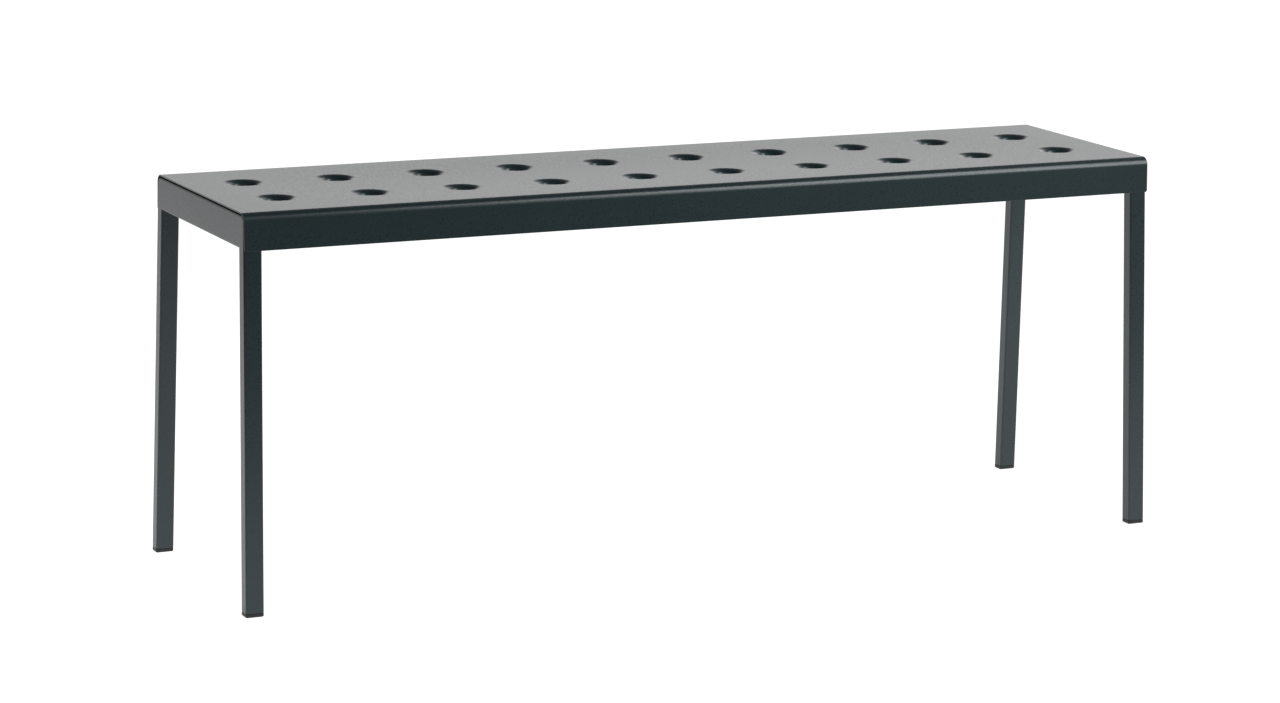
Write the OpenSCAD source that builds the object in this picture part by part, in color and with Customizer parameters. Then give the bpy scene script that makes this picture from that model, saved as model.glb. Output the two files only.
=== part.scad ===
// Backless bench: a folded steel seat panel with pressed drain dimples,
// carried by two inverted-U end frames of welded rectangular tube.
// Millimetres. +X runs along the seat, +Y to the rear, +Z up.
// The origin is on the floor, under the middle of the seat.

/* [Seat panel] */
// Length of the folded seat panel
seat_l = 1188; // [1000:2:1300]
// Depth of the seat, where the apron planes meet the top plane
seat_w = 304; // [290:1:360]
// Height of the sitting surface above the floor
seat_h = 464; // [400:1:520]
// Thickness of the steel sheet
sheet_t = 1.5; // [1:0.5:3]
// Outside radius of the front and rear bends
bend_r = 10; // [6:1:14]
// Height of the aprons below the sitting surface
apron_h = 43; // [38:1:60]

/* [Dimples] */
// Columns of dimples along the seat
dimple_cols = 10; // [4:2:10]
// Distance between the columns
dimple_pitch = 115.3; // [95:0.1:118]
// Distance between the two rows
dimple_row_gap = 113; // [90:1:140]
// Outer radius of the rolled shoulder
dimple_r = 25; // [22:0.5:27]
// Radius of the open throat
throat_r = 15; // [10:0.5:17]
// Length of the straight lip below the shoulder
lip_h = 1; // [0.5:0.5:3]

/* [End frames] */
// Width of a leg along the seat
leg_w = 22; // [18:1:30]
// Depth of a leg across the seat
leg_d = 16.5; // [14:0.5:30]
// Wall of the leg and rail tubes
tube_wall = 1.5; // [1:0.5:3]
// Outside corner radius of the tubes
tube_r = 2; // [1.5:0.5:3]
// Height of the end rail
rail_h = 40; // [34:1:50]
// Outward splay of the legs and aprons across the seat, degrees
splay = 2.28; // [0:0.02:4]
// Outward lean of each end frame along the seat, degrees
lean = 0.78; // [0:0.02:2]
// Distance of an end frame in from the end of the seat panel
frame_inset = 1.8; // [0.5:0.1:4]

/* [Feet] */
// Height of the visible base of a foot cap
cap_h = 5; // [3:0.5:12]
// Length of the plug inside the leg
plug_h = 18; // [10:1:30]
// Chamfer around the sole of a foot cap
cap_chamfer = 1; // [0.5:0.1:2]

/* [Fixings] */
// Distance of the outer screws from the middle one
screw_gap = 70; // [50:1:80]
// Thread diameter of the frame screws
screw_d = 6; // [5:1:6]
// Length of a mounting angle
angle_l = 200; // [180:2:220]
// Length of the brace foot on each side of its channel
brace_flange = 12; // [8:1:14]
// Height of a cross brace
brace_h = 20; // [14:1:28]

/* [Hidden] */

COAT = [0.15, 0.19, 0.20];
PLASTIC = [0.05, 0.05, 0.055];
ZINC = [0.72, 0.73, 0.74];

frame_x = seat_l / 2 - frame_inset;      // outer face of an end frame, at seat height
bend_steps = 14;                         // flats around one bend
screw_z = -24;                           // screw line, below the seat, along the frame
angle_t = 3;                             // thickness of a mounting angle
clear_r = screw_d / 2 + 0.3;             // clearance hole of a screw
brace_x = 2 * dimple_pitch;              // a brace lies midway between two columns
brace_t = 1.5;
brace_crown = 24;

function arc(cx, cy, r, a0, a1, n) =
    [for (i = [0 : n]) let (a = a0 + (a1 - a0) * i / n) [cx + r * cos(a), cy + r * sin(a)]];

// Half of the panel's cross-section line, inset by o from its outer surface, as
// [distance from the middle, height] from the top to the height z_end.
function half_line(o, z_end) =
    let (yc = seat_w / 2 + bend_r * tan(splay) - bend_r / cos(splay),
         zc = seat_h - bend_r,
         foot = (seat_w / 2) + (seat_h - z_end) * tan(splay) - o / cos(splay))
    concat(arc(yc, zc, bend_r - o, 90, splay, bend_steps), [[foot, z_end]]);

function flip(p) = [for (i = [len(p) - 1 : -1 : 0]) [-p[i][0], p[i][1]]];

// Closed outline of everything inside the panel, down to z_end.
function inside_line(o, z_end) = concat(flip(half_line(o, z_end)), half_line(o, z_end));

function back(p) = [for (i = [len(p) - 1 : -1 : 0]) p[i]];

// A closed outline in the YZ plane, drawn out along X and centred.
module along_x(points, length) {
    translate([-length / 2, 0, 0]) rotate([90, 0, 90]) linear_extrude(length) polygon(points);
}

// A closed outline in the XZ plane, drawn out along Y and centred.
module along_y(points, length) {
    translate([0, length / 2, 0]) rotate([90, 0, 0]) linear_extrude(length) polygon(points);
}

// The space under the panel, clear of its aprons and bends.
module under_panel(z_low) {
    along_x(inside_line(sheet_t, z_low), seat_l);
}

function round_rect(x0, y0, x1, y1, r) = concat(
    arc(x1 - r, y1 - r, r, 0, 90, 4), arc(x0 + r, y1 - r, r, 90, 180, 4),
    arc(x0 + r, y0 + r, r, 180, 270, 4), arc(x1 - r, y0 + r, r, 270, 360, 4));

// ---- seat panel ----

// Section of a dimple's rolled shoulder, of radius r. The first chord crosses the
// plane of the sheet at a slope, and the others follow the roll down to the throat.
function shoulder(r) =
    let (s = dimple_r - throat_r, a0 = 15)
    concat([[dimple_r + r * sin(a0), -s + 2 * r - r * cos(a0)]],
           [for (a = [a0 : a0 : 90]) [dimple_r - r * sin(a), -s + r * cos(a)]]);

module dimple_void() {
    s = dimple_r - throat_r;
    p = shoulder(s);
    rotate_extrude($fn = 64)
        polygon(concat([[0, 2], [p[0][0], 2]], p, [[throat_r, -s - lip_h - 1], [0, -s - lip_h - 1]]));
}

module dimple_body() {
    s = dimple_r - throat_r;
    p = shoulder(s - sheet_t);
    rotate_extrude($fn = 64)
        polygon(concat([[0, -sheet_t / 2], [p[0][0], -sheet_t / 2]], p, [[throat_r + sheet_t, -s - lip_h], [0, -s - lip_h]]));
}

module at_dimples() {
    for (c = [0 : dimple_cols - 1], row = [-1, 1])
        translate([(c - (dimple_cols - 1) / 2) * dimple_pitch, row * dimple_row_gap / 2, seat_h]) children();
}

module seat_sheet() {
    z_low = seat_h - apron_h;
    color(COAT) difference() {
        union() {
            along_x(concat(inside_line(0, z_low), back(inside_line(sheet_t, z_low))), seat_l);
            at_dimples() dimple_body();
        }
        at_dimples() dimple_void();
    }
}

// A pressed channel that ties the two aprons together under the panel.
module cross_brace(side) {
    w = brace_crown / 2;
    t = brace_t;
    zt = seat_h - sheet_t;
    outer = [[-w - brace_flange, 0], [-w - brace_flange, -t], [-w - t, -t], [-w, -brace_h], [w, -brace_h],
             [w + t, -t], [w + brace_flange, -t], [w + brace_flange, 0],
             [w, 0], [w - t, -brace_h + t], [-w + t, -brace_h + t], [-w, 0]];
    color(COAT) intersection() {
        translate([side * brace_x, 0, zt]) along_y(outer, seat_w + 60);
        under_panel(seat_h - apron_h);
    }
}

// ---- end frames ----

// Places a right-hand child on side 1, and its mirror image on side -1.
module on_side(side) {
    if (side > 0) children(); else mirror([1, 0, 0]) children();
}

// The leaning plane of an end frame: x = 0 on its outer face, z = 0 at seat height.
module in_frame(side) {
    on_side(side) translate([frame_x, 0, seat_h]) rotate([0, -lean, 0]) children();
}

// The line of a leg within the frame: y = 0 on its outer face, row 1 is the rear.
module on_leg(side, row) {
    in_frame(side)
        if (row > 0) translate([0, seat_w / 2 - sheet_t / cos(splay), 0]) rotate([splay, 0, 0]) mirror([0, 1, 0]) children();
        else mirror([0, 1, 0]) translate([0, seat_w / 2 - sheet_t / cos(splay), 0]) rotate([splay, 0, 0]) mirror([0, 1, 0]) children();
}

module tube_bar(length) {
    linear_extrude(length) polygon(round_rect(-leg_w, 0, 0, leg_d, tube_r));
}

module tube_bore(length, gap = 0) {
    w = tube_wall + gap;
    linear_extrude(length) polygon(round_rect(-leg_w + w, w, -w, leg_d - w, max(tube_r - w, 0.4)));
}

module leg(side, row) {
    reach = seat_h + 40;
    color(COAT) intersection() {
        on_leg(side, row) difference() {
            translate([0, 0, -reach]) tube_bar(reach + 20);
            translate([0, 0, -reach - 1]) tube_bore(reach + 22);
        }
        along_x(inside_line(sheet_t, cap_h), seat_l + 80);
    }
}

// Rectangular tube between the two legs, with its ends cut to their splay.
module end_rail(side) {
    half = seat_w / 2 - sheet_t / cos(splay) - leg_d / cos(splay);
    color(COAT) in_frame(side) difference() {
        intersection() {
            translate([0, seat_w / 2 + 20, -sheet_t - rail_h]) rotate([90, 0, 0])
                linear_extrude(seat_w + 40) difference() {
                    polygon(round_rect(-leg_w, 0, 0, rail_h, tube_r));
                    polygon(round_rect(-leg_w + tube_wall, tube_wall, -tube_wall, rail_h - tube_wall, 0.5));
                }
            translate([-leg_w / 2, 0, 0]) along_x([[-half, 0], [half, 0],
                [half + 60 * tan(splay), -60], [-half - 60 * tan(splay), -60]], leg_w + 10);
        }
        for (y = [-1, 0, 1])
            translate([-leg_w - 1, y * screw_gap, screw_z]) rotate([0, 90, 0])
                cylinder(h = tube_wall + 2, r = clear_r, $fn = 32);
    }
}

// Folded angle welded under the panel, standing against the rail's inner wall.
module mounting_angle(side) {
    t = angle_t;
    x0 = -leg_w;
    color(COAT) difference() {
        intersection() {
            in_frame(side) along_y([[x0, 2], [x0, -33], [x0 - t, -33], [x0 - t, -sheet_t - t],
                [x0 - 20, -sheet_t - t], [x0 - 20, 2]], angle_l);
            under_panel(seat_h - apron_h);
        }
        in_frame(side) for (y = [-1, 0, 1])
            translate([x0 - t - 1, y * screw_gap, screw_z]) rotate([0, 90, 0])
                cylinder(h = t + 2, r = clear_r, $fn = 32);
    }
}

// Puts a child on each screw axis: z = 0 on the angle's inner face, +z towards the rail.
module at_screws(side) {
    in_frame(side) for (y = [-1, 0, 1])
        translate([-leg_w - angle_t, y * screw_gap, screw_z]) rotate([0, 90, 0]) children();
}

module washer() {
    translate([0, 0, -1.6]) difference() {
        cylinder(h = 1.6, r = screw_d, $fn = 48);
        translate([0, 0, -1]) cylinder(h = 4, r = screw_d / 2 + 0.2, $fn = 48);
    }
}

// Button-head screw with a hexagonal socket.
module button_screw() {
    head_r = screw_d * 0.875;
    head_h = screw_d * 0.55;
    translate([0, 0, -1.6]) difference() {
        union() {
            rotate_extrude($fn = 48) polygon([[0, 0], [head_r, 0], [head_r, -0.5],
                for (a = [20 : 20 : 80]) [screw_d * 0.3 + (head_r - screw_d * 0.3) * cos(a), -0.5 - (head_h - 0.5) * sin(a)],
                [screw_d * 0.3, -head_h], [0, -head_h]]);
            cylinder(h = 15.4, r = screw_d / 2 - 0.05, $fn = 48);
            translate([0, 0, 15.4]) cylinder(h = 0.6, r1 = screw_d / 2 - 0.05, r2 = screw_d / 2 - 0.6, $fn = 48);
        }
        translate([0, 0, -head_h - 0.1]) cylinder(h = 2.1, r = screw_d / 3 / cos(30), $fn = 6);
    }
}

// Hexagon nut welded to the inside of the rail wall.
module weld_nut() {
    translate([0, 0, angle_t + tube_wall]) difference() {
        cylinder(h = 5, r = screw_d * 0.8333 / cos(30), $fn = 6);
        translate([0, 0, -1]) cylinder(h = 7, r = screw_d / 2 + 0.05, $fn = 48);
    }
}

module mounting_screws(side) { color(ZINC) at_screws(side) button_screw(); }
module washers(side) { color(ZINC) at_screws(side) washer(); }
module weld_nuts(side) { color(ZINC) at_screws(side) weld_nut(); }

// ---- feet ----

// Glide cap: a base under the tube's end, and a ribbed plug inside the tube.
module foot_cap(side, row) {
    reach = seat_h + 40;
    big = 200;
    cx = frame_x + seat_h * tan(lean) - leg_w / 2;
    cy = seat_w / 2 + seat_h * tan(splay) - leg_d / 2 - sheet_t;
    c = cap_chamfer;
    hw = leg_w / 2;
    hd = leg_d / 2;
    color(PLASTIC) union() {
        intersection() {
            on_leg(side, row) translate([0, 0, -reach]) tube_bar(reach);
            translate([side * cx, row * cy, 0]) along_y([[-hw + c, 0], [hw - c, 0], [hw + 4, 4 + c],
                [hw + 4, cap_h], [-hw - 4, cap_h], [-hw - 4, 4 + c]], big);
            translate([side * cx, row * cy, 0]) along_x([[-hd + c, 0], [hd - c, 0], [hd + 4, 4 + c],
                [hd + 4, cap_h], [-hd - 4, cap_h], [-hd - 4, 4 + c]], big);
        }
        // plug core, with three thin ribs that grip the tube wall
        intersection() {
            on_leg(side, row) union() {
                translate([0, 0, -reach]) tube_bore(reach, 1);
                for (k = [1 : 3])
                    translate([0, 0, -seat_h + cap_h + k * plug_h * 0.24]) tube_bore(1.2, 0.15);
            }
            translate([side * cx, row * cy, cap_h - 1 + (plug_h + 1) / 2])
                cube([leg_w * 3, leg_d * 3, plug_h + 1], center = true);
        }
    }
}

seat_sheet();
cross_brace(-1);  // cross_brace_left
cross_brace(1);  // cross_brace_right
mounting_angle(-1);  // mounting_angle_left
mounting_angle(1);  // mounting_angle_right
mounting_screws(-1);  // mounting_screws_left
mounting_screws(1);  // mounting_screws_right
washers(-1);  // washers_left
washers(1);  // washers_right
weld_nuts(-1);  // weld_nuts_left
weld_nuts(1);  // weld_nuts_right
end_rail(-1);  // end_rail_left
end_rail(1);  // end_rail_right
leg(-1, -1);  // leg_front_left
leg(1, -1);  // leg_front_right
leg(-1, 1);  // leg_rear_left
leg(1, 1);  // leg_rear_right
foot_cap(-1, -1);  // foot_cap_front_left
foot_cap(1, -1);  // foot_cap_front_right
foot_cap(-1, 1);  // foot_cap_rear_left
foot_cap(1, 1);  // foot_cap_rear_right
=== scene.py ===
import math
import bpy
from mathutils import Matrix, Vector

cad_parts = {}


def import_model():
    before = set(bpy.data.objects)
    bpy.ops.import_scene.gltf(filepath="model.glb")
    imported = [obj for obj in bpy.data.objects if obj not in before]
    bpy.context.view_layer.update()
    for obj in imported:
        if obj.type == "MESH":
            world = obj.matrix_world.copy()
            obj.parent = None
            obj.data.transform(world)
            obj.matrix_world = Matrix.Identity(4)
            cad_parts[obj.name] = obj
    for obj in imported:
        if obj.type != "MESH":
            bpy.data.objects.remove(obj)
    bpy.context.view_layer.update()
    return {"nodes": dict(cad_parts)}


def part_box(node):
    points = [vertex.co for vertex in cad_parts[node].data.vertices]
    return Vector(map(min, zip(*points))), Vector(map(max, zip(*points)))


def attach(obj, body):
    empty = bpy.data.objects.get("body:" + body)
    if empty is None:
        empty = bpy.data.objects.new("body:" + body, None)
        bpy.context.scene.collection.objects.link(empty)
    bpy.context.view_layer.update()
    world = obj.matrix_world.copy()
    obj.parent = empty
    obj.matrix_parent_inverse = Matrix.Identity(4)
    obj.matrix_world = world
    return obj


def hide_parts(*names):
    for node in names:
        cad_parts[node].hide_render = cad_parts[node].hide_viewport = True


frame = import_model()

sin, cos, tan, pi, rad = math.sin, math.cos, math.tan, math.pi, math.radians
MM = 0.001

# ------------------------------------------------------------------ sizes
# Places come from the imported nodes; section sizes repeat the design's own.
lo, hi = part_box("seat_sheet")
SEAT_HX = hi.x / MM                     # half length of the panel
SEAT_H = hi.z / MM                      # sitting height
APRON_Z = lo.z / MM                     # bottom edge of the aprons
SPLAY, LEAN = rad(2.28), rad(0.78)
SHEET_T, BEND_R = 1.5, 10.0
SEAT_HW = hi.y / MM - (SEAT_H - APRON_Z) * tan(SPLAY)    # where the apron planes meet the top plane
COLS, PITCH, ROW_Y = 10, 115.3, 56.5
DIMPLE_R, THROAT_R, LIP_H = 25.0, 15.0, 1.0
FRAME_X = SEAT_HX - 1.8
LEG_W, LEG_D, RAIL_H, TUBE_R = 22.0, 16.5, 40.0, 2.0
CAP_H = 5.0
GAP = 1.9                               # shadow gap between the sheet and the top of an end frame
LEFT_X = FRAME_X + 0.1                  # the sheet's left end lies flush with its frame
DISH = 2.0                              # the pressed panel sits a little hollow in the middle


# ------------------------------------------------------------------ mesh helpers
class Skin:
    """Collects vertices and faces; vertices at the same place become one."""

    def __init__(self):
        self.co, self.no, self.faces, self.key = [], [], [], {}

    def v(self, p, n=None):
        k = tuple(math.floor(c * 1000 + 0.3183) for c in p)
        i = self.key.get(k)
        if i is None:
            i = len(self.co)
            self.key[k] = i
            self.co.append(tuple(float(c) for c in p))
            self.no.append(tuple(n) if n is not None else (0, 0, 0))
        return i

    def f(self, *idx):
        out = []
        for i in idx:
            if i not in out:
                out.append(i)
        if len(out) > 2:
            self.faces.append(tuple(out))

    def grid(self, rows, flip=False):
        for a, b in zip(rows[:-1], rows[1:]):
            for i in range(len(a) - 1):
                q = (a[i], b[i], b[i + 1], a[i + 1])
                self.f(*(q[::-1] if flip else q))

    def loft(self, loops, flip=False):
        """Closed loops of vertex indices, joined one to the next."""
        for a, b in zip(loops[:-1], loops[1:]):
            n = len(a)
            for i in range(n):
                q = (a[i], b[i], b[(i + 1) % n], a[(i + 1) % n])
                self.f(*(q[::-1] if flip else q))

    def obj(self, name, place=None):
        me = bpy.data.meshes.new(name)
        me.from_pydata([(x * MM, y * MM, z * MM) for x, y, z in self.co], [], self.faces)
        me.validate()
        me.update()
        o = bpy.data.objects.new(name, me)
        bpy.context.scene.collection.objects.link(o)
        if place is not None:
            me.transform(place)
        return o


def outward(o):
    """Makes all normals point out."""
    import bmesh
    bm = bmesh.new()
    bm.from_mesh(o.data)
    bmesh.ops.recalc_face_normals(bm, faces=bm.faces)
    bm.to_mesh(o.data)
    bm.free()
    return o


def smooth(o, angle=40, weighted=True):
    me = o.data
    me.polygons.foreach_set("use_smooth", [True] * len(me.polygons))
    if hasattr(me, "set_sharp_from_angle"):
        me.set_sharp_from_angle(angle=rad(angle))
    if weighted:
        w = o.modifiers.new("weighted", "WEIGHTED_NORMAL")
        w.keep_sharp = True
        w.weight = 80
    return o


# ------------------------------------------------------------------ materials
def nodes_of(name):
    m = bpy.data.materials.new(name)
    m.use_nodes = True
    nt = m.node_tree
    nt.nodes.clear()
    out = nt.nodes.new("ShaderNodeOutputMaterial")
    bsdf = nt.nodes.new("ShaderNodeBsdfPrincipled")
    nt.links.new(bsdf.outputs["BSDF"], out.inputs["Surface"])
    return m, nt, bsdf


def tex(nt, kind, **inputs):
    n = nt.nodes.new(kind)
    for k, val in inputs.items():
        n.inputs[k.replace("_", " ")].default_value = val
    return n


def ramp(nt, src, stops):
    r = nt.nodes.new("ShaderNodeValToRGB")
    e = r.color_ramp.elements
    e[0].position, e[0].color = stops[0][0], (*stops[0][1], 1)
    e[1].position, e[1].color = stops[-1][0], (*stops[-1][1], 1)
    for pos, col in stops[1:-1]:
        x = e.new(pos)
        x.color = (*col, 1)
    nt.links.new(src, r.inputs["Fac"])
    return r


def powder_coat():
    """Fine-textured satin powder coat: a mottled dark grey green, with orange peel under a fine grain."""
    m, nt, b = nodes_of("powder_coat_green_grey")
    L = nt.links.new
    co = nt.nodes.new("ShaderNodeTexCoord")
    big = tex(nt, "ShaderNodeTexNoise", Scale=7.0, Detail=3.0, Roughness=0.55)
    mid = tex(nt, "ShaderNodeTexNoise", Scale=420.0, Detail=3.0, Roughness=0.6)
    fine = tex(nt, "ShaderNodeTexNoise", Scale=1500.0, Detail=2.0, Roughness=0.6)
    grain = tex(nt, "ShaderNodeTexNoise", Scale=900.0, Detail=1.0, Roughness=0.5)
    for n in (big, mid, fine, grain):
        L(co.outputs["Object"], n.inputs["Vector"])
    # colour: slow drift with a little fine speckle
    c1 = ramp(nt, big.outputs["Fac"], [(0.3, (0.0100, 0.0212, 0.0236)), (0.7, (0.0124, 0.0248, 0.0274))])
    c2 = ramp(nt, fine.outputs["Fac"], [(0.30, (0.90, 0.90, 0.90)), (0.72, (1.09, 1.09, 1.09))])
    mix = nt.nodes.new("ShaderNodeMix")
    mix.data_type = "RGBA"
    mix.blend_type = "MULTIPLY"
    mix.inputs["Factor"].default_value = 1.0
    L(c1.outputs["Color"], mix.inputs["A"])
    L(c2.outputs["Color"], mix.inputs["B"])
    L(mix.outputs["Result"], b.inputs["Base Color"])
    # roughness: satin, broken by the grain
    r1 = nt.nodes.new("ShaderNodeMapRange")
    r1.inputs["From Min"].default_value, r1.inputs["From Max"].default_value = 0.3, 0.7
    r1.inputs["To Min"].default_value, r1.inputs["To Max"].default_value = 0.26, 0.34
    L(mid.outputs["Fac"], r1.inputs["Value"])
    L(r1.outputs["Result"], b.inputs["Roughness"])
    # relief: orange peel, then fine grain
    b1 = nt.nodes.new("ShaderNodeBump")
    b1.inputs["Strength"].default_value, b1.inputs["Distance"].default_value = 0.10, 0.00004
    L(mid.outputs["Fac"], b1.inputs["Height"])
    b2 = nt.nodes.new("ShaderNodeBump")
    b2.inputs["Strength"].default_value, b2.inputs["Distance"].default_value = 0.08, 0.00002
    L(grain.outputs["Fac"], b2.inputs["Height"])
    L(b1.outputs["Normal"], b2.inputs["Normal"])
    L(b2.outputs["Normal"], b.inputs["Normal"])
    b.inputs["IOR"].default_value = 1.5
    b.inputs["Metallic"].default_value = 0.0
    return m


def foot_plastic():
    m, nt, b = nodes_of("foot_plastic_black")
    L = nt.links.new
    co = nt.nodes.new("ShaderNodeTexCoord")
    n1 = tex(nt, "ShaderNodeTexNoise", Scale=240.0, Detail=4.0, Roughness=0.6)
    n2 = tex(nt, "ShaderNodeTexNoise", Scale=1800.0, Detail=2.0)
    for n in (n1, n2):
        L(co.outputs["Object"], n.inputs["Vector"])
    c = ramp(nt, n1.outputs["Fac"], [(0.3, (0.0045, 0.0046, 0.0048)), (0.7, (0.0085, 0.0086, 0.0088))])
    L(c.outputs["Color"], b.inputs["Base Color"])
    r = nt.nodes.new("ShaderNodeMapRange")
    r.inputs["To Min"].default_value, r.inputs["To Max"].default_value = 0.42, 0.62
    L(n1.outputs["Fac"], r.inputs["Value"])
    L(r.outputs["Result"], b.inputs["Roughness"])
    bp = nt.nodes.new("ShaderNodeBump")
    bp.inputs["Strength"].default_value, bp.inputs["Distance"].default_value = 0.25, 0.00005
    L(n2.outputs["Fac"], bp.inputs["Height"])
    L(bp.outputs["Normal"], b.inputs["Normal"])
    return m


def zinc():
    m, nt, b = nodes_of("zinc_plate")
    L = nt.links.new
    co = nt.nodes.new("ShaderNodeTexCoord")
    n1 = tex(nt, "ShaderNodeTexNoise", Scale=180.0, Detail=5.0, Roughness=0.65)
    n2 = tex(nt, "ShaderNodeTexNoise", Scale=2200.0, Detail=2.0)
    for n in (n1, n2):
        L(co.outputs["Object"], n.inputs["Vector"])
    c = ramp(nt, n1.outputs["Fac"], [(0.3, (0.46, 0.47, 0.48)), (0.5, (0.60, 0.61, 0.62)), (0.7, (0.68, 0.68, 0.67))])
    L(c.outputs["Color"], b.inputs["Base Color"])
    b.inputs["Metallic"].default_value = 1.0
    r = nt.nodes.new("ShaderNodeMapRange")
    r.inputs["To Min"].default_value, r.inputs["To Max"].default_value = 0.24, 0.46
    L(n1.outputs["Fac"], r.inputs["Value"])
    L(r.outputs["Result"], b.inputs["Roughness"])
    bp = nt.nodes.new("ShaderNodeBump")
    bp.inputs["Strength"].default_value, bp.inputs["Distance"].default_value = 0.15, 0.00004
    L(n2.outputs["Fac"], bp.inputs["Height"])
    L(bp.outputs["Normal"], b.inputs["Normal"])
    return m


COAT, FOOT, ZINC = powder_coat(), foot_plastic(), zinc()


def dress(o, mat, slot, *nodes):
    o.data.materials.clear()
    o.data.materials.append(mat)
    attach(o, "root")
    if nodes:
        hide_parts(*nodes)
    return o


# ------------------------------------------------------------------ seat panel
BEND_YC = SEAT_HW + BEND_R * tan(SPLAY) - BEND_R / cos(SPLAY)
EDGE_R = 0.28                                              # rounding of the coated cut edges
CORNER_R = 2.4                                             # apron corners


def dish(x, y):
    u = min(1.0, abs(x) / 560.0)
    w = min(1.0, abs(y) / BEND_YC)
    return -DISH * (1 - u ** 3) * (1 - w * w) ** 1.5


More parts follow.
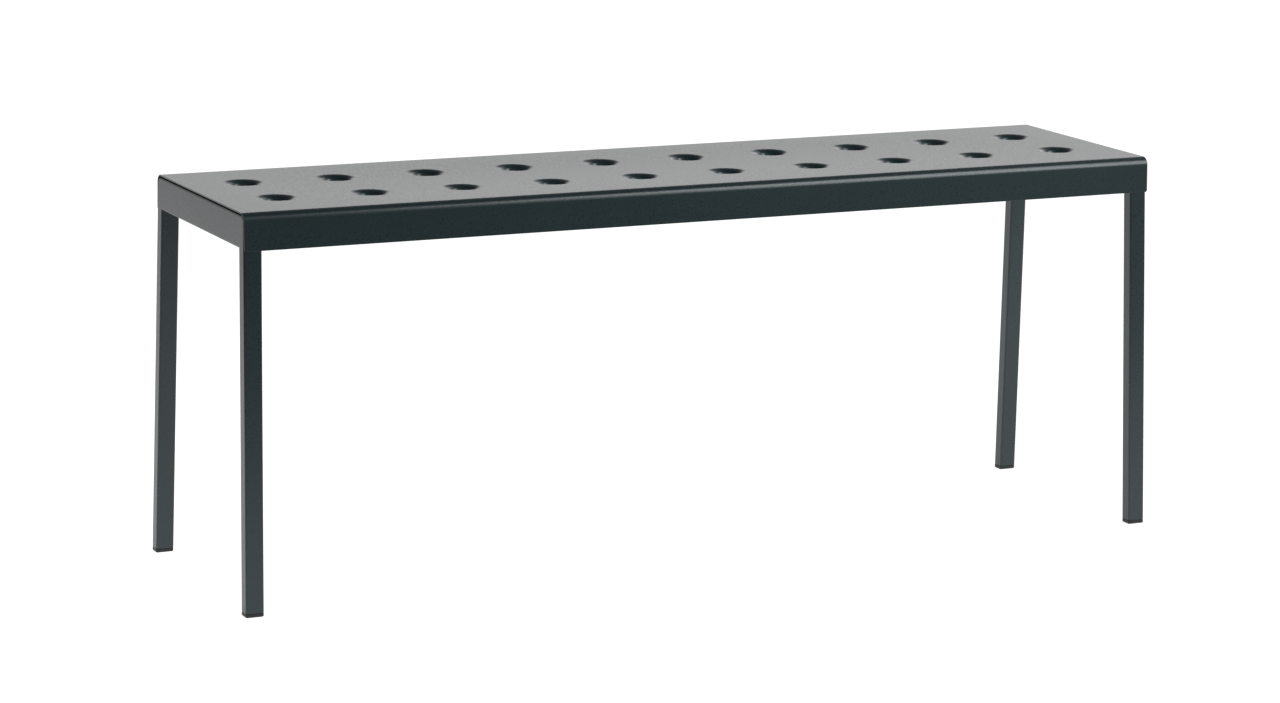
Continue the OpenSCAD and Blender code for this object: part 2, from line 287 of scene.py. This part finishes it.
def seat_panel():
    s = Skin()
    H, up = SEAT_H, (0, 0, 1)
    NS = 16                                                # quads along a side of a dimple's cell
    xs = [(-COLS / 2 * PITCH) + PITCH * i / NS for i in range(COLS * NS + 1)]
    cell_y = 2 * ROW_Y
    edge_x = xs[-1]
    end_k = (0.0, 0.3, 0.6, 0.82, 0.94, 1.0)

    def top_v(x, y):
        return s.v((x, y, H + dish(x, y)), up)

    def row(y, z, n, x_end):
        """One line of vertices along the panel, at the same place in its section."""
        x_left = x_end - SEAT_HX + LEFT_X
        left = [-(edge_x + (x_left - edge_x) * k) for k in reversed(end_k)][:-1]
        right = [edge_x + (x_end - edge_x) * k for k in end_k][1:]
        line = left + xs + right
        return [s.v((x, y, z + (dish(x, y) if n[2] > 0.9999 else 0)), n) for x in line]

    x_full = SEAT_HX - EDGE_R
    # the dimples: a roll, a straight lip, and rings out to the square edge of the cell
    roll = DIMPLE_R - THROAT_R
    prof = [(THROAT_R, -roll - LIP_H + EDGE_R, 90), (THROAT_R, -roll - LIP_H * 0.3, 90)]
    prof += [(DIMPLE_R - roll * sin(rad(a)), -roll + roll * cos(rad(a)), a) for a in [90 - 6 * i for i in range(16)]]
    prof += [(DIMPLE_R + 0.6, 0.0, 0)]
    n_around = 4 * NS
    for c in range(COLS):
        cx = (c - (COLS - 1) / 2) * PITCH
        for row_y in (-ROW_Y, ROW_Y):
            loops = []
            square = []
            for side in range(4):
                for i in range(NS):
                    t = 2 * i / NS - 1
                    hx, hy = PITCH / 2, cell_y / 2
                    p = [(hx, t * hy), (-t * hx, hy), (-hx, -t * hy), (t * hx, -hy)][side]
                    square.append((cx + p[0], row_y + p[1]))
            ang = [rad(-45 + 90 * k / NS) for k in range(n_around)]
            for r, z, a in prof:
                loops.append([s.v((cx + r * cos(t), row_y + r * sin(t), H + z + dish(cx + r * cos(t), row_y + r * sin(t))),
                                  (-sin(rad(a)) * cos(t), -sin(rad(a)) * sin(t), cos(rad(a)))) for t in ang])
            for k in (0.12, 0.3, 0.55, 0.8):
                ring = []
                for (qx, qy), t in zip(square, ang):
                    px, py = cx + (DIMPLE_R + 0.6) * cos(t), row_y + (DIMPLE_R + 0.6) * sin(t)
                    ring.append(top_v(px + (qx - px) * k, py + (qy - py) * k))
                loops.append(ring)
            loops.append([top_v(x, y) for x, y in square])
            s.loft(loops)
    # plain strips: the two ends beside the cells, and the strips beside the bends
    ys_cell = [-cell_y + cell_y * i / NS for i in range(2 * NS + 1)]
    for sx in (-1, 1):
        x_side = x_full if sx > 0 else x_full - SEAT_HX + LEFT_X
        cols = [[top_v(sx * (edge_x + (x_side - edge_x) * k), y) for y in ys_cell] for k in end_k]
        s.grid(cols)
    for sy in (-1, 1):
        rows = []
        for k in (0, 0.25, 0.5, 0.75, 0.95):
            rows.append(row(sy * (cell_y + (BEND_YC - cell_y) * k), H, up, x_full))
        n_bend = 18
        for i in range(n_bend + 1):
            a = pi / 2 + (SPLAY - pi / 2) * i / n_bend
            n = (0, sy * cos(a), sin(a))
            rows.append(row(sy * (BEND_YC + BEND_R * cos(a)), H - BEND_R + BEND_R * sin(a), n, x_full))
        # apron, down to its rounded corners
        n = (0, sy * cos(SPLAY), sin(SPLAY))
        z0 = H - BEND_R + BEND_R * sin(SPLAY)
        z1 = APRON_Z + EDGE_R
        r = CORNER_R - EDGE_R

        def apron_y(z):
            return sy * (SEAT_HW + (H - z) * tan(SPLAY))
        for k in (0.08, 0.3, 0.55, 0.8, 0.96):
            z = z0 + (z1 + r - z0) * k
            rows.append(row(apron_y(z), z, n, x_full))
        for i in range(7):
            ph = pi / 2 * (1 - i / 6)
            z = z1 + r * (1 - cos(ph))
            rows.append(row(apron_y(z), z, n, x_full - r * (1 - sin(ph))))
        s.grid(rows)

    # the other face of the sheet, and rounded cut edges between the two
    n_out = len(s.co)
    outer_faces = list(s.faces)
    co = [Vector(p) for p in s.co]
    no = [Vector(p).normalized() for p in s.no]
    centre = {}
    count = {}
    for f in outer_faces:
        for i in range(len(f)):
            e = (f[i], f[(i + 1) % len(f)])
            k = (min(e), max(e))
            count[k] = count.get(k, 0) + 1
            centre[k] = (e, f)
    rim = [centre[k] for k, c in count.items() if c == 1]
    out_dir = {}
    for (a, b), f in rim:
        mid = (co[a] + co[b]) / 2
        fc = sum((co[i] for i in f), Vector()) / len(f)
        d = (co[b] - co[a]).cross((no[a] + no[b]) / 2).normalized()
        if d.dot(mid - fc) < 0:
            d = -d
        for i in (a, b):
            out_dir[i] = out_dir.get(i, Vector()) + d
    inner = [len(s.co) + i for i in range(n_out)]
    s.co += [tuple(p - n * SHEET_T) for p, n in zip(co, no)]
    s.faces += [tuple(inner[i] for i in f) for f in outer_faces]
    chains = {}
    for i, d in out_dir.items():
        e = d.normalized()
        chain = [i]
        for ph in (30, 60, 90):
            chain.append(len(s.co))
            s.co.append(tuple(co[i] + e * EDGE_R * sin(rad(ph)) - no[i] * EDGE_R * (1 - cos(rad(ph)))))
        for ph in (90, 60, 30):
            chain.append(len(s.co))
            s.co.append(tuple(co[i] - no[i] * SHEET_T + e * EDGE_R * sin(rad(ph)) + no[i] * EDGE_R * (1 - cos(rad(ph)))))
        chain.append(inner[i])
        chains[i] = chain
    for (a, b), f in rim:
        for k in range(7):
            s.faces.append((chains[a][k], chains[b][k], chains[b][k + 1], chains[a][k + 1]))
    o = s.obj("seat_panel")
    outward(o)
    smooth(o, 50)
    return o


dress(seat_panel(), COAT, "powder_coat", "seat_sheet")


# ------------------------------------------------------------------ end frames
def frame_place(side):
    """From an end frame's leaning plane (x = 0 outside, z = 0 at seat height) to the row frame."""
    m = Matrix.Translation((FRAME_X * MM, 0, SEAT_H * MM)) @ Matrix.Rotation(-LEAN, 4, "Y")
    if side < 0:
        m = Matrix.Scale(-1, 4, (1, 0, 0)) @ m
    return m


Y_OUT0 = SEAT_HW - SHEET_T / cos(SPLAY)                    # outer face of a leg at seat height
RAIL_TOP, RAIL_BOT = -SHEET_T - GAP, -SHEET_T - RAIL_H
FILLET = [(-TUBE_R + TUBE_R * sin(rad(p)), TUBE_R * (1 - cos(rad(p)))) for p in (90, 72, 54, 36, 18, 0)]
SLICES = FILLET + [(-LEG_W * 0.5, 0.0)] + [(-LEG_W - x, o) for x, o in reversed(FILLET)]


def y_out(z):
    return Y_OUT0 - z * tan(SPLAY)


def y_in(z):
    return y_out(z) - LEG_D / cos(SPLAY)


def cut_z(x, z):
    """Height in the leaning plane that comes to z above the floor at x."""
    return (z - SEAT_H - x * sin(LEAN)) / cos(LEAN)


def leg_line(x, o):
    """Outline of a rear leg at x, shrunk by o where the tube's edges are rounded."""
    zb = cut_z(x, CAP_H)
    q = o / cos(SPLAY)
    p = [(y_out(zb) - q, zb), (y_out(-430) - q, -430), (y_out(-300) - q, -300), (y_out(-150) - q, -150), (y_out(-60) - q, -60)]
    for i in range(13):
        a = SPLAY + (pi / 2 - SPLAY) * i / 12
        r = BEND_R - SHEET_T - o - GAP * i / 12
        p.append((BEND_YC + r * cos(a), -BEND_R + r * sin(a)))
    two = TUBE_R / cos(SPLAY)
    p.append((y_in(RAIL_TOP - o) + two, RAIL_TOP - o))
    p.append((y_in(RAIL_BOT + TUBE_R) + two, RAIL_BOT + TUBE_R))
    p.append((y_in(RAIL_BOT + o) + q, RAIL_BOT + o))
    p += [(y_in(-60) + q, -60), (y_in(-150) + q, -150), (y_in(-300) + q, -300), (y_in(-430) + q, -430), (y_in(zb) + q, zb)]
    return p


def leg(side, rear, name):
    s = Skin()
    loops = [[s.v((x, y, z)) for y, z in leg_line(x, o)] for x, o in SLICES]
    n = len(loops[0])
    for a, b in zip(loops[:-1], loops[1:]):
        for i in range(n - 1):                             # the last edge is the open lower end
            s.f(a[i], b[i], b[i + 1], a[i + 1])
    # the two flat sides, filled between the outer and the inner line of the tube
    for lp in (loops[0], loops[-1]):
        for i in range(4):
            s.f(lp[i], lp[i + 1], lp[n - 2 - i], lp[n - 1 - i])
        s.f(*lp[4:n - 4])
    # socket in the lower end for the plug of the foot cap
    rim = [lp[0] for lp in loops] + [lp[-1] for lp in reversed(loops)]
    c = Vector((-LEG_W / 2, (y_out(cut_z(-LEG_W / 2, CAP_H)) + y_in(cut_z(-LEG_W / 2, CAP_H))) / 2, 0))
    kx, ky = 1 - 1.5 / (LEG_W / 2), 1 - 1.5 / (LEG_D / 2)

    def bore(depth):
        out = []
        for i in rim:
            p = s.co[i]
            z = p[2] + depth
            out.append(s.v((c.x + (p[0] - c.x) * kx, c.y - depth * tan(SPLAY) + (p[1] - c.y) * ky, z)))
        return out
    b0, b1 = bore(0.0), bore(32.0)
    s.loft([rim, b0, b1])
    s.f(*b1)
    place = frame_place(side)
    if not rear:
        place = place @ Matrix.Scale(-1, 4, (0, 1, 0))
    o = s.obj(name, place)
    outward(o)
    smooth(o, 35)
    return o


def rail_line(o):
    two, q = TUBE_R / cos(SPLAY), o / cos(SPLAY)
    half = [(y_in(RAIL_BOT + o) + q, RAIL_BOT + o), (y_in(RAIL_BOT + TUBE_R) + two, RAIL_BOT + TUBE_R),
            (y_in(RAIL_TOP - o) + two, RAIL_TOP - o)]
    mids = [-90, -30, 30, 90]
    return [(y, RAIL_BOT + o) for y in mids] + half + [(-y, RAIL_TOP - o) for y in mids] + [(-y, z) for y, z in reversed(half)]


def rail(side, name):
    s = Skin()
    loops = [[s.v((x, y, z)) for y, z in rail_line(o)] for x, o in SLICES]
    s.loft(loops)
    s.f(*loops[0])
    s.f(*loops[-1])
    o = s.obj(name, frame_place(side))
    outward(o)
    smooth(o, 35)
    return o


for side, sn in ((-1, "left"), (1, "right")):
    dress(rail(side, f"end_rail_{sn}_coated"), COAT, "powder_coat", f"end_rail_{sn}")
    for rear, rn in ((False, "front"), (True, "rear")):
        dress(leg(side, rear, f"leg_{rn}_{sn}_coated"), COAT, "powder_coat", f"leg_{rn}_{sn}")


# ------------------------------------------------------------------ foot caps
def foot_cap(side, rear, name):
    """Moulded cap: a sole with a soft lower edge, a fine step at the tube, and a ribbed plug."""
    s = Skin()

    def ring(z, hx, hy, r, n=5):
        # the leg's axis at this height, so that the cap follows the tube
        zl = cut_z(-LEG_W / 2, z)
        cy = (y_out(zl) + y_in(zl)) / 2
        pts = []
        for k, (sx, sy) in enumerate(((1, 1), (-1, 1), (-1, -1), (1, -1))):
            for i in range(n + 1):
                a = pi / 2 * k + pi / 2 * i / n
                pts.append((-LEG_W / 2 + sx * (hx - r) + r * cos(a), cy + sy * (hy - r) + r * sin(a)))
        return [s.v((x, y, cut_z(x, z))) for x, y in pts]
    hx, hy = LEG_W / 2, LEG_D / 2
    loops = []
    for a in (90, 70, 50, 30, 10, 0):
        e = 1.5 * (1 - cos(rad(a)))
        loops.append(ring(1.5 * (1 - sin(rad(a))), hx - e, hy - e, max(0.6, TUBE_R - e * 0.6)))
    loops.append(ring(3.9, hx, hy, TUBE_R))
    loops.append(ring(4.3, hx - 0.08, hy - 0.08, TUBE_R))
    loops.append(ring(4.55, hx - 0.45, hy - 0.45, TUBE_R))
    loops.append(ring(5.0, hx - 0.45, hy - 0.45, TUBE_R))
    loops.append(ring(5.0, hx - 2.6, hy - 2.6, 0.8))
    z = 5.0
    for k in range(3):
        z0 = 8.0 + 4.4 * k
        loops.append(ring(z0, hx - 2.6, hy - 2.6, 0.8))
        loops.append(ring(z0 + 0.5, hx - 1.65, hy - 1.65, 0.9))
        loops.append(ring(z0 + 1.3, hx - 1.65, hy - 1.65, 0.9))
        loops.append(ring(z0 + 2.2, hx - 2.6, hy - 2.6, 0.8))
    loops.append(ring(22.0, hx - 2.6, hy - 2.6, 0.8))
    loops.append(ring(23.0, hx - 3.4, hy - 3.4, 0.6))
    s.loft(loops)
    s.f(*loops[0])
    s.f(*loops[-1])
    place = frame_place(side)
    if not rear:
        place = place @ Matrix.Scale(-1, 4, (0, 1, 0))
    o = s.obj(name, place)
    outward(o)
    smooth(o, 35)
    return o


for side, sn in ((-1, "left"), (1, "right")):
    for rear, rn in ((False, "front"), (True, "rear")):
        dress(foot_cap(side, rear, f"foot_cap_{rn}_{sn}_moulded"), FOOT, "foot_plastic", f"foot_cap_{rn}_{sn}")


# ------------------------------------------------------------------ under the seat
def inner_y(z):
    """Half width inside the folded sheet at z below the sitting plane."""
    if z > -BEND_R + (BEND_R - SHEET_T) * sin(SPLAY):
        return BEND_YC + math.sqrt(max(0.0, (BEND_R - SHEET_T) ** 2 - (z + BEND_R) ** 2))
    return SEAT_HW - z * tan(SPLAY) - SHEET_T / cos(SPLAY)


def folded(pts, t, bend, n=5):
    """Outer and inner line of a strip folded along pts, with rounded folds."""
    out, inn = [], []
    for i, p in enumerate(pts):
        p = Vector(p)
        if i in (0, len(pts) - 1):
            d = (Vector(pts[1]) - p if i == 0 else p - Vector(pts[-2])).normalized()
            nrm = Vector((-d.y, d.x))
            out.append(p)
            inn.append(p + nrm * t)
            continue
        d0, d1 = (p - Vector(pts[i - 1])).normalized(), (Vector(pts[i + 1]) - p).normalized()
        n0, n1 = Vector((-d0.y, d0.x)), Vector((-d1.y, d1.x))
        turn = d0.x * d1.y - d0.y * d1.x
        ang = math.acos(max(-1, min(1, d0.dot(d1))))
        sgn = 1 if turn > 0 else -1
        r = bend + (t if turn > 0 else 0.0)                # radius of the outer line
        c = p + (n0 + n1).normalized() * sgn * r / cos(ang / 2)
        for k in range(n + 1):
            m = (n0 * (1 - k / n) + n1 * (k / n)).normalized()
            out.append(c - m * sgn * r)
            inn.append(c - m * (sgn * r - t))
    return out, inn


def strip(name, out, inn, place_v, stations, width=0.35):
    s = Skin()
    line = [(p.x, p.y) for p in out] + [(p.x, p.y) for p in reversed(inn)]
    loops = [[s.v(place_v(x, z, t)) for x, z in line] for t in stations]
    s.loft(loops)
    n = len(out)
    for lp in (loops[0], loops[-1]):
        for i in range(n - 1):
            s.f(lp[i], lp[i + 1], lp[2 * n - 2 - i], lp[2 * n - 1 - i])
    o = s.obj(name)
    outward(o)
    bv = o.modifiers.new("soft_edges", "BEVEL")
    bv.width, bv.segments, bv.limit_method, bv.angle_limit = width * MM, 3, "ANGLE", rad(50)
    bv.harden_normals = False
    smooth(o, 45)
    return o


def brace(side, name):
    """Pressed channel with two feet that follow the hollow of the panel."""
    box_lo, box_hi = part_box(f"cross_brace_{'left' if side < 0 else 'right'}")
    cx = (box_lo.x + box_hi.x) / 2 / MM
    half = (box_hi.x - box_lo.x) / 2 / MM
    w, t, h, top = half - 12.0, SHEET_T, SEAT_H - SHEET_T - box_lo.z / MM, -SHEET_T - 0.03
    out, inn = folded([(-half, top - t), (-w - t, top - t), (-w, top - h), (w, top - h), (w + t, top - t), (half, top - t)], t, 1.6)

    def place_v(x, z, k):
        y = k * (inner_y(z) - 0.1)
        return (cx + x, y, SEAT_H + z + dish(cx + x, y))
    return strip(name, out, inn, place_v, [-1 + 2 * i / 40 for i in range(41)])


for side, sn in ((-1, "left"), (1, "right")):
    dress(brace(side, f"cross_brace_{sn}_coated"), COAT, "powder_coat", f"cross_brace_{sn}")

# ------------------------------------------------------------------ carried-over CAD pieces
for n, o in frame["nodes"].items():
    if o.hide_render:
        continue
    steel = n.startswith(("mounting_screws", "washers", "weld_nuts"))
    mat = ZINC if steel else COAT
    for sl in o.material_slots:
        sl.material = mat
    if not o.material_slots:
        o.data.materials.append(mat)
    bv = o.modifiers.new("soft_edges", "BEVEL")
    bv.width, bv.segments, bv.limit_method, bv.angle_limit = (0.15 if steel else 0.5) * MM, 2, "ANGLE", rad(35)
    bv.use_clamp_overlap = True
    sm = o.modifiers.new("weighted", "WEIGHTED_NORMAL")
    sm.keep_sharp = True


# ------------------------------------------------------------------ stage
def floor():
    me = bpy.data.meshes.new("floor")
    x0, x1, y0, y1 = -1.9, 4.2, -1.25, 12.0
    me.from_pydata([(x0, y0, 0), (x1, y0, 0), (x1, y1, 0), (x0, y1, 0)], [], [(0, 1, 2, 3)])
    o = bpy.data.objects.new("floor", me)
    bpy.context.scene.collection.objects.link(o)
    m, nt, b = nodes_of("floor_pale")
    b.inputs["Base Color"].default_value = (0.5, 0.5, 0.5, 1)
    b.inputs["Roughness"].default_value = 0.9
    b.inputs["Specular IOR Level"].default_value = 0.1
    b.inputs["Emission Color"].default_value = (1, 1, 1, 1)
    L = nt.links.new
    co = nt.nodes.new("ShaderNodeTexCoord")
    # the floor glows evenly at FLOOR_GLOW, plus a painted pool of light: up to 0.24 brighter around (-0.7, 0.75) near
    # the left legs, fading out by 1.5 m, for their left faces to reflect
    dist = nt.nodes.new("ShaderNodeVectorMath")
    dist.operation = "DISTANCE"
    dist.inputs[1].default_value = (-0.7, 0.75, 0.0)
    L(co.outputs["Object"], dist.inputs[0])
    glow_with_painted_light_pool = nt.nodes.new("ShaderNodeMapRange")
    glow_with_painted_light_pool.interpolation_type = "SMOOTHSTEP"
    for k, val in zip(("From Min", "From Max", "To Min", "To Max"), (0.1, 1.5, FLOOR_GLOW + 0.24, FLOOR_GLOW)):
        glow_with_painted_light_pool.inputs[k].default_value = val
    L(dist.outputs["Value"], glow_with_painted_light_pool.inputs["Value"])
    L(glow_with_painted_light_pool.outputs["Result"], b.inputs["Emission Strength"])
    o.data.materials.append(m)
    return o


FLOOR_GLOW = 0.86
floor()


def world():
    """Studio around the bench: a bright wall low behind it, a dim ceiling, a dimmer wall behind the camera."""
    w = bpy.data.worlds.new("studio")
    bpy.context.scene.world = w
    w.use_nodes = True
    nt = w.node_tree
    nt.nodes.clear()
    L = nt.links.new
    out = nt.nodes.new("ShaderNodeOutputWorld")
    co = nt.nodes.new("ShaderNodeTexCoord")
    sep = nt.nodes.new("ShaderNodeSeparateXYZ")
    L(co.outputs["Generated"], sep.inputs["Vector"])

    def step(axis, a, b, lo_v, hi_v):
        n = nt.nodes.new("ShaderNodeMapRange")
        n.interpolation_type = "SMOOTHSTEP"
        for k, val in zip(("From Min", "From Max", "To Min", "To Max"), (a, b, lo_v, hi_v)):
            n.inputs[k].default_value = val
        L(sep.outputs[axis], n.inputs["Value"])
        return n.outputs["Result"]

    def op(kind, a, b):
        n = nt.nodes.new("ShaderNodeMath")
        n.operation = kind
        for sock, val in zip(n.inputs, (a, b)):
            if isinstance(val, float):
                sock.default_value = val
            else:
                L(val, sock)
        return n.outputs["Value"]
    band = op("MULTIPLY", step("Z", 0.26, 0.48, 1.0, 0.10), step("Z", -0.02, 0.14, 0.40, 1.0))
    back = op("MULTIPLY", step("Y", 0.05, 0.55, 0.0, 1.0), band)
    wall = op("MULTIPLY", back, step("X", -0.5, 0.5, 0.76, 1.66))
    tall = op("MULTIPLY", step("Z", 0.12, 0.30, 0.0, 1.0), step("Z", 0.65, 0.85, 1.0, 0.1))
    side = op("MULTIPLY", op("MULTIPLY", step("X", 0.55, 0.85, 0.0, 3.2), step("Y", -0.35, 0.0, 0.0, 1.0)), tall)
    front = op("MULTIPLY", step("Y", -0.35, -0.1, 0.5, 0.0), step("X", -0.1, 0.1, 1.0, 0.0))
    front = op("MULTIPLY", front, op("MULTIPLY", step("Z", 0.08, 0.20, 0.0, 1.0), step("Z", 0.5, 0.8, 1.0, 0.2)))
    total = op("ADD", op("ADD", op("ADD", wall, side), front), 0.09)
    light = nt.nodes.new("ShaderNodeBackground")
    L(total, light.inputs["Strength"])
    white = nt.nodes.new("ShaderNodeBackground")
    white.inputs["Color"].default_value = (1, 1, 1, 1)
    white.inputs["Strength"].default_value = 1.0
    path = nt.nodes.new("ShaderNodeLightPath")
    mix = nt.nodes.new("ShaderNodeMixShader")
    L(path.outputs["Is Camera Ray"], mix.inputs["Fac"])
    L(light.outputs["Background"], mix.inputs[1])
    L(white.outputs["Background"], mix.inputs[2])
    L(mix.outputs["Shader"], out.inputs["Surface"])


world()


def softbox(name, at, look, w, h, radiance):
    d = bpy.data.lights.new(name, "AREA")
    d.shape, d.size, d.size_y = "RECTANGLE", w, h
    d.energy = radiance * w * h * pi
    d.color = (0.95, 1.0, 1.01)
    o = bpy.data.objects.new(name, d)
    o.location = at
    o.rotation_euler = (Vector(look) - Vector(at)).to_track_quat("-Z", "Y").to_euler()
    bpy.context.scene.collection.objects.link(o)
    return o


softbox("key", (1.95, -2.2, 2.3), (0.3, 0, 0.4), 1.5, 2.3, 7.0)
softbox("low_fill", (2.35, -2.9, 0.75), (0.3, 0, 0.3), 1.8, 1.5, 0.30)

# ------------------------------------------------------------------ camera
F_PX, CAM = 4034.56, (-2.08800, -4.37067, 1.23188)
YAW, PITCH_A, ROLL = 0.44047, 0.20340, 0.01386
fwd = Vector((sin(YAW) * cos(PITCH_A), cos(YAW) * cos(PITCH_A), -sin(PITCH_A)))
right0 = Vector((cos(YAW), -sin(YAW), 0))
up0 = right0.cross(fwd)
right = right0 * cos(ROLL) + up0 * sin(ROLL)
up = -right0 * sin(ROLL) + up0 * cos(ROLL)
cam = bpy.data.objects.new("camera", bpy.data.cameras.new("camera"))
bpy.context.scene.collection.objects.link(cam)
rot = Matrix((right, up, -fwd)).transposed()
cam.matrix_world = Matrix.Translation(CAM) @ rot.to_4x4()
cam.data.sensor_fit = "HORIZONTAL"
cam.data.sensor_width = 36.0
cam.data.lens = F_PX / 1280 * 36
cam.data.clip_end = 200
bpy.context.scene.camera = cam

vs = bpy.context.scene.view_settings
vs.view_transform = "Standard"
vs.look = "None"
